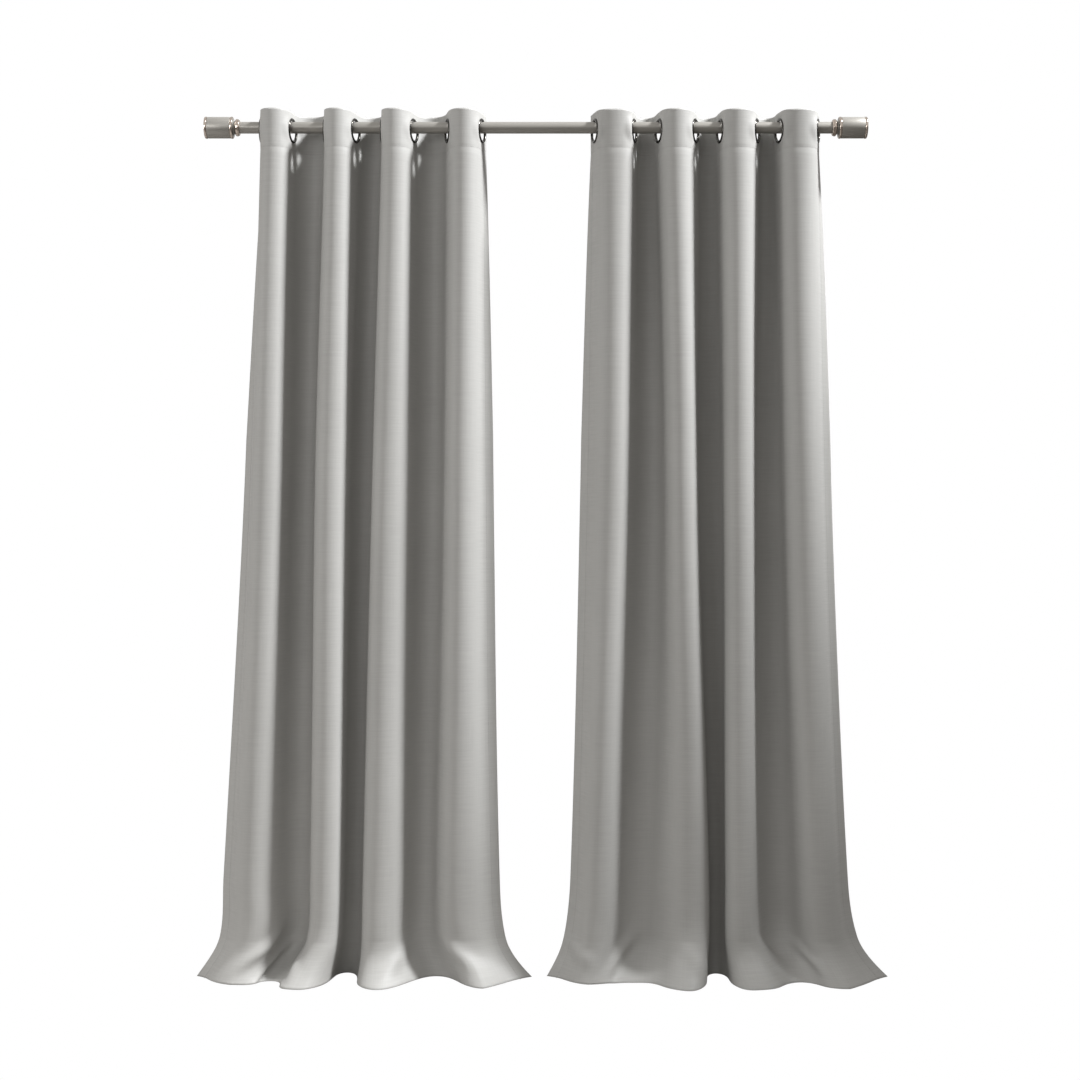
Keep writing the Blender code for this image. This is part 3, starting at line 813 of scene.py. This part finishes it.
def stitch_tree(settings, material):
    """Geometry nodes that lay a stitch at each step along the seams they are given."""
    tree = bpy.data.node_groups.new("stitch_row", "GeometryNodeTree")
    face = tree.interface
    face.new_socket(name="Seams", in_out="INPUT", socket_type="NodeSocketGeometry")
    for name, value in (("Stitch length", settings.stitch_length), ("Thread width", settings.stitch_width)):
        face.new_socket(name=name, in_out="INPUT", socket_type="NodeSocketFloat").default_value = value
    face.new_socket(name="Stitches", in_out="OUTPUT", socket_type="NodeSocketGeometry")
    given = add_node(tree, "NodeGroupInput").outputs
    curve = add_node(tree, "GeometryNodeMeshToCurve", {"Mesh": given["Seams"]})
    spaced = add_node(
        tree,
        "GeometryNodeResampleCurve",
        {"Curve": curve.outputs[0], "Length": given["Stitch length"]},
        mode="LENGTH",
    )
    tangent = add_node(tree, "GeometryNodeInputTangent")
    turn = add_node(
        tree, "FunctionNodeAlignRotationToVector", {"Vector": tangent.outputs[0]}, axis="X"
    )
    reach = {0: given["Stitch length"], 1: STITCH_REACH}
    long = add_node(tree, "ShaderNodeMath", reach, operation="MULTIPLY")
    thick = add_node(tree, "ShaderNodeMath", {0: given["Thread width"], 1: 0.5}, operation="MULTIPLY")
    size = add_node(
        tree, "ShaderNodeCombineXYZ", {0: long.outputs[0], 1: thick.outputs[0], 2: thick.outputs[0]}
    )
    bead = add_node(tree, "GeometryNodeMeshUVSphere", {"Segments": 6, "Rings": 4, "Radius": 1.0})
    laid = add_node(
        tree,
        "GeometryNodeInstanceOnPoints",
        {
            "Points": spaced.outputs[0],
            "Instance": bead.outputs["Mesh"],
            "Rotation": turn.outputs[0],
            "Scale": size.outputs[0],
        },
    )
    real = add_node(tree, "GeometryNodeRealizeInstances", {"Geometry": laid.outputs[0]})
    painted = add_node(
        tree, "GeometryNodeSetMaterial", {"Geometry": real.outputs[0], "Material": material}
    )
    add_node(tree, "NodeGroupOutput", {"Stitches": painted.outputs[0]})
    return tree


def seam_mesh(name, points, across, heights, normals, lift):
    """Lines of edges along the heading seam and both side hems, on the cloth's face."""
    raised = points + normals * lift
    paths = []
    seam_row = int(np.abs(heights - HEADING_SEAM).argmin())
    paths.append(raised[seam_row])
    for place in (SIDE_HEM, FLAT_WIDTH - SIDE_HEM):
        column = [[np.interp(place, across, row[:, axis]) for axis in range(3)] for row in raised]
        paths.append(np.array(column))
    verts, edges = [], []
    for path in paths:
        edges += [(len(verts) + i, len(verts) + i + 1) for i in range(len(path) - 1)]
        verts += path.tolist()
    mesh = bpy.data.meshes.new(name)
    mesh.from_pydata(verts, edges, [])
    return mesh


def sew(side, points, across, heights, normals, settings):
    """The panel's stitches, as one plain mesh."""
    material = material_named("sewing_thread", lambda: sewing_thread(settings))
    tree = bpy.data.node_groups.get("stitch_row") or stitch_tree(settings, material)
    name = f"{side}_stitches"
    mesh = seam_mesh(name + "_seams", points, across, heights, normals, settings.thickness / 2)
    thing = bpy.data.objects.new(name + "_seams", mesh)
    bpy.context.scene.collection.objects.link(thing)
    thing.modifiers.new("Stitches", "NODES").node_group = tree
    return finished(thing, name, material)


def make_panel(side):
    settings = bpy.context.scene.curtain_cloth
    points, across, heights, normals = cloth_rows(side, settings)
    stitches = sew(side, points, across, heights, normals, settings)
    grommet_height = middle(f"{side}_grommet_1_face").z
    mesh = cloth_mesh(f"{side}_curtain", points, across, heights, grommet_height)
    cloth = material_named("polyester_slub_weave", lambda: polyester_slub_weave(settings))
    lining = material_named("foam_coated_lining", lambda: foam_coated_lining(settings))
    mesh.materials.append(cloth)
    mesh.materials.append(lining)
    panel = bpy.data.objects.new(f"{side}_curtain", mesh)
    bpy.context.scene.collection.objects.link(panel)
    wall = panel.modifiers.new("Cloth thickness", "SOLIDIFY")
    wall.thickness = settings.thickness
    wall.offset = 0
    wall.use_even_offset = True
    wall.material_offset = 1
    bpy.context.view_layer.update()
    graph = bpy.context.evaluated_depsgraph_get()
    solid = bpy.data.meshes.new_from_object(panel.evaluated_get(graph))
    panel.modifiers.clear()
    panel.data = solid
    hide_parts(f"{side}_panel")
    draw_with(panel, side)
    draw_with(stitches, side)


# Operators -------------------------------------------------------------------------------------------


class CURTAINS_OT_panels(bpy.types.Operator):
    """Both pleated panels with their seams and stitches"""

    bl_idname = "curtains.panels"
    bl_label = "Curtain Panels"

    def execute(self, context):
        for side in PANELS:
            make_panel(side)
        return {"FINISHED"}


class CURTAINS_OT_grommets(bpy.types.Operator):
    """The face ring and backing ring of every grommet"""

    bl_idname = "curtains.grommets"
    bl_label = "Grommets"

    def execute(self, context):
        material = hardware_material("antique_nickel")
        half_cloth = context.scene.curtain_cloth.thickness / 2
        for side in PANELS:
            for k in range(1, GROMMETS + 1):
                self.ring_pair(f"{side}_grommet_{k}", half_cloth, material)
        return {"FINISHED"}

    def ring_pair(self, body, seat, material):
        """Both rings of one grommet. The seat is the cloth's face, from its middle."""
        face, backing = f"{body}_face", f"{body}_backing"
        front, back = middle(face), middle(backing)
        normal = (front - back).normalized()
        turn = Vector((0, 0, 1)).rotation_difference(normal).to_matrix().to_4x4()
        centre = back + normal * (normal.dot(front - back))
        depths = np.abs((vertices(face) - np.array(centre)) @ np.array(normal))
        place = Matrix.Translation(centre - normal * (depths.max() - FACE_REACH)) @ turn
        half = (RING_RADIUS - RING_INNER) / 2
        ring = [
            (RING_INNER + half + half * math.cos(a), seat + FACE_CROWN * math.sin(a))
            for a in np.linspace(0, math.pi, 13)
        ]
        end, wall = -seat - BARREL_LENGTH, RING_INNER + BARREL_WALL
        ring += [(RING_INNER, end), (wall, end), (wall, seat)]
        inner, half = RING_INNER + WASHER_INSET, half - WASHER_TRIM
        washer = [
            (inner + half * (1 + math.cos(a)), -seat - WASHER_CROWN * math.sin(a))
            for a in np.linspace(0, math.pi, 9)
        ]
        for node, profile in ((face, ring), (backing, washer)):
            piece = turned(f"{node}_ring", self.outward(profile), material, place)
            stand_for(piece, body, node)

    def outward(self, profile):
        """The profile in the order that gives outward faces: clockwise with the radius to the right."""
        area = 0.0
        for (r0, h0), (r1, h1) in zip(profile, profile[1:] + profile[:1]):
            area += r0 * h1 - r1 * h0
        return profile if area < 0 else profile[::-1]


class CURTAINS_OT_rod(bpy.types.Operator):
    """The rod, a thin steel tube"""

    bl_idname = "curtains.rod"
    bl_label = "Rod"

    def execute(self, context):
        inside = ROD_RADIUS - ROD_WALL
        profile = [(ROD_RADIUS, ROD_END), (ROD_RADIUS, -ROD_END), (inside, -ROD_END), (inside, ROD_END)]
        along = Matrix.Translation(ROD_CENTRE) @ Matrix.Rotation(math.pi / 2, 4, "Y")
        piece = turned("rod", profile, hardware_material("brushed_pewter"), along)
        stand_for(piece, "root", "rod_tube")
        return {"FINISHED"}


class CURTAINS_OT_finials(bpy.types.Operator):
    """Both drum finials"""

    bl_idname = "curtains.finials"
    bl_label = "Finials"

    def execute(self, context):
        for side, sign in (("left", -1), ("right", 1)):
            self.finial(side, sign)
        return {"FINISHED"}

    def span(self, node, sign):
        """A node's reach beyond the rod's end, inner and outer, and its radius."""
        low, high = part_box(node)
        near, far = sorted((sign * low.x - ROD_END, sign * high.x - ROD_END))
        return near, far, (high.z - low.z) / 2

    def add(self, name, node, profile, slot, place, closed=True):
        piece = turned(name, profile, hardware_material(slot), place, closed)
        stand_for(piece, "root", node)

    def finial(self, side, sign):
        outwards = Matrix.Rotation(sign * math.pi / 2, 4, "Y")
        place = Matrix.Translation(ROD_CENTRE + Vector((sign * ROD_END, 0, 0))) @ outwards
        near, far, radius = self.span(f"{side}_finial_neck_ring", sign)
        neck = [(STUD_BORE, far)]
        neck += arc((radius - NECK_CROWN, far - NECK_CROWN), NECK_CROWN, 90, 20)
        neck += [(radius - NECK_STEP, far - NECK_BAND), (radius - NECK_LIP, near + NECK_TAPER)]
        neck += arc((ROD_RADIUS + NECK_TAPER, near + NECK_LIP), NECK_LIP, 30, -90)
        neck += [(STUD_BORE, near)]
        self.add(f"{side}_neck_ring", f"{side}_finial_neck_ring", neck, "polished_nickel", place)
        near, far, radius = self.span(f"{side}_finial_waist", sign)
        waist = [(STUD_BORE, far)]
        for i in range(13):
            t = i / 12
            waist.append((radius - WAIST_DEPTH * math.sin(math.pi * t), far + (near - far) * t))
        waist += [(STUD_BORE, near)]
        self.add(f"{side}_waist", f"{side}_finial_waist", waist, "brushed_pewter", place)
        self.drum(side, sign, place)

    def drum(self, side, sign, place):
        """The drum is as wide as its radius between the two bands, and narrower where they sit on it."""
        near, far, radius = self.span(f"{side}_finial_drum", sign)
        inner_near, inner_far, band = self.span(f"{side}_finial_inner_band", sign)
        outer_near, outer_far, _ = self.span(f"{side}_finial_outer_band", sign)
        core = band - BAND_SEAT
        wide_from, wide_to = inner_far + BAND_GAP, outer_near - BAND_GAP
        rim = DRUM_ROUNDING
        drum = [(0, far)]
        drum += arc((core - rim, far - rim), rim, 90, 0, 4)
        drum += [(core, wide_to)]
        drum += arc((radius - rim, wide_to - rim), rim, 90, 0, 4)
        drum += arc((radius - rim, wide_from + rim), rim, 0, -90, 4)
        drum += [(core, wide_from), (core, near), (0, near)]
        self.add(f"{side}_drum", f"{side}_finial_drum", drum, "brushed_pewter", place, closed=False)
        for part, foot, top in (("inner", inner_near, inner_far), ("outer", outer_near, outer_far)):
            hoop = [(core + BAND_GAP, top)]
            for i in range(13):
                t = i / 12
                lift = BAND_BULGE * math.sin(math.pi * t) ** BAND_FULLNESS
                hoop.append((band - BAND_BULGE + lift, top - (top - foot) * t))
            hoop += [(core + BAND_GAP, foot)]
            self.add(f"{side}_{part}_hoop", f"{side}_finial_{part}_band", hoop, "polished_nickel", place)


class CURTAINS_OT_hidden_hardware(bpy.types.Operator):
    """Finishes for the brackets, plugs and studs, which keep the frame's own shapes"""

    bl_idname = "curtains.hidden_hardware"
    bl_label = "Brackets and Plugs"

    def execute(self, context):
        slots = {row["node"]: row["material_slot"] for row in frame["record"]["subparts"]}
        for side in PANELS:
            for part in FRAME_SHAPED:
                node = frame["nodes"][f"{side}_{part}"]
                node.data.materials.clear()
                node.data.materials.append(hardware_material(slots[node.name]))
        return {"FINISHED"}


class CURTAINS_OT_stage(bpy.types.Operator):
    """The pale floor, the lights, the surroundings and the camera"""

    bl_idname = "curtains.stage"
    bl_label = "Studio"

    def execute(self, context):
        settings = context.scene.curtain_stage
        self.surroundings(context.scene, settings)
        self.floor()
        self.key(settings.key)
        for name, (place, size, share) in FILLS.items():
            self.soft_light(name, place, size, settings.fill * share)
        self.camera(context.scene, settings.distance)
        context.scene.view_settings.view_transform = "Standard"
        return {"FINISHED"}

    def camera(self, scene, distance):
        """Level with the middle of the panels, and square to the rod."""
        data = bpy.data.cameras.new("camera")
        data.sensor_width = SENSOR_WIDTH
        data.lens = SENSOR_WIDTH * distance / VIEW_WIDTH
        camera = bpy.data.objects.new("camera", data)
        camera.location = (CAMERA_ASIDE, ROD_CENTRE.y - distance, ROD_CENTRE.z - CAMERA_DROP)
        camera.rotation_euler = (math.pi / 2, 0, 0)
        scene.collection.objects.link(camera)
        scene.camera = camera

    def surroundings(self, scene, settings):
        """White where it is seen directly. As a light it is even above the horizon and dark below it."""
        world = bpy.data.worlds.new("studio")
        scene.world = world
        world.use_nodes = True
        tree = world.node_tree
        path = add_node(tree, "ShaderNodeLightPath")
        seen = add_node(tree, "ShaderNodeBackground", {"Color": (1, 1, 1, 1), "Strength": 1.0})
        way = add_node(tree, "ShaderNodeTexCoord").outputs["Generated"]
        height = add_node(tree, "ShaderNodeSeparateXYZ", {0: way}).outputs["Z"]
        dusk = between(height, -HORIZON, HORIZON, 0.0, settings.ambient)
        strength = add_node(tree, "ShaderNodeMapRange", dusk).outputs[0]
        above = {"Color": (1, 0.985, 0.965, 1), "Strength": strength}
        lights = add_node(tree, "ShaderNodeBackground", above)
        mixed = add_node(
            tree,
            "ShaderNodeMixShader",
            {0: path.outputs["Is Camera Ray"], 1: lights.outputs[0], 2: seen.outputs[0]},
        )
        tree.links.new(mixed.outputs[0], tree.nodes["World Output"].inputs[0])

    def floor(self):
        """A seamless white sweep. It gives little light back, so the folds keep their shadows."""
        bpy.ops.mesh.primitive_plane_add(size=FLOOR_SIZE, location=(0, 0, FLOOR - FLOOR_GAP))
        floor = bpy.context.object
        floor.name = "floor"
        material, tree, shader = new_material("white_paper_sweep")
        set_inputs(shader, Base_Color=linear("8A8784"), Roughness=0.9)
        path = add_node(tree, "ShaderNodeLightPath")
        glow = add_node(tree, "ShaderNodeEmission", {"Color": (1, 1, 1, 1), "Strength": 1.0})
        mixed = add_node(
            tree,
            "ShaderNodeMixShader",
            {0: path.outputs["Is Camera Ray"], 1: shader.outputs[0], 2: glow.outputs[0]},
        )
        tree.links.new(mixed.outputs[0], tree.nodes["Material Output"].inputs[0])
        floor.data.materials.append(material)

    def key(self, power):
        """A spot high on the right that rakes across the folds and fades out low on the right panel."""
        data = bpy.data.lights.new("key", "SPOT")
        data.energy = power
        data.color = (0.965, 0.98, 1.0)
        data.shadow_soft_size = KEY_SIZE
        data.spot_size = KEY_CONE
        data.spot_blend = KEY_CONE_EDGE
        self.aimed(data, KEY_PLACE, KEY_TARGET)

    def soft_light(self, name, place, size, power):
        data = bpy.data.lights.new(name, "AREA")
        data.shape = "RECTANGLE"
        data.size, data.size_y = size
        data.energy = power
        self.aimed(data, place, FILL_TARGET)

    def aimed(self, data, place, target):
        lamp = bpy.data.objects.new(data.name, data)
        lamp.location = place
        lamp.rotation_euler = (Vector(target) - Vector(place)).to_track_quat("-Z", "Y").to_euler()
        bpy.context.scene.collection.objects.link(lamp)


class CURTAINS_PT_panel(bpy.types.Panel):
    """Lists the pieces and their settings"""

    bl_label = "Curtains"
    bl_idname = "CURTAINS_PT_panel"
    bl_space_type = "VIEW_3D"
    bl_region_type = "UI"
    bl_category = "Curtains"

    def draw(self, context):
        for group in ("curtain_cloth", "curtain_hardware", "curtain_stage"):
            settings = getattr(context.scene, group)
            box = self.layout.box()
            for name in settings.__annotations__:
                box.prop(settings, name)
        for operator in PIECES:
            self.layout.operator(operator.bl_idname)


PIECES = (
    CURTAINS_OT_stage,
    CURTAINS_OT_rod,
    CURTAINS_OT_finials,
    CURTAINS_OT_hidden_hardware,
    CURTAINS_OT_grommets,
    CURTAINS_OT_panels,
)
SETTINGS = {
    "curtain_cloth": ClothSettings,
    "curtain_hardware": HardwareSettings,
    "curtain_stage": StageSettings,
}


def register():
    for kind in (*SETTINGS.values(), *PIECES, CURTAINS_PT_panel):
        bpy.utils.register_class(kind)
    for name, kind in SETTINGS.items():
        setattr(bpy.types.Scene, name, PointerProperty(type=kind))


def unregister():
    for name in SETTINGS:
        delattr(bpy.types.Scene, name)
    for kind in reversed((*SETTINGS.values(), *PIECES, CURTAINS_PT_panel)):
        bpy.utils.unregister_class(kind)


def main():
    register()
    bpy.ops.curtains.stage()
    bpy.ops.curtains.rod()
    bpy.ops.curtains.finials()
    bpy.ops.curtains.hidden_hardware()
    bpy.ops.curtains.grommets()
    bpy.ops.curtains.panels()


if __name__ == "__main__":
    main()
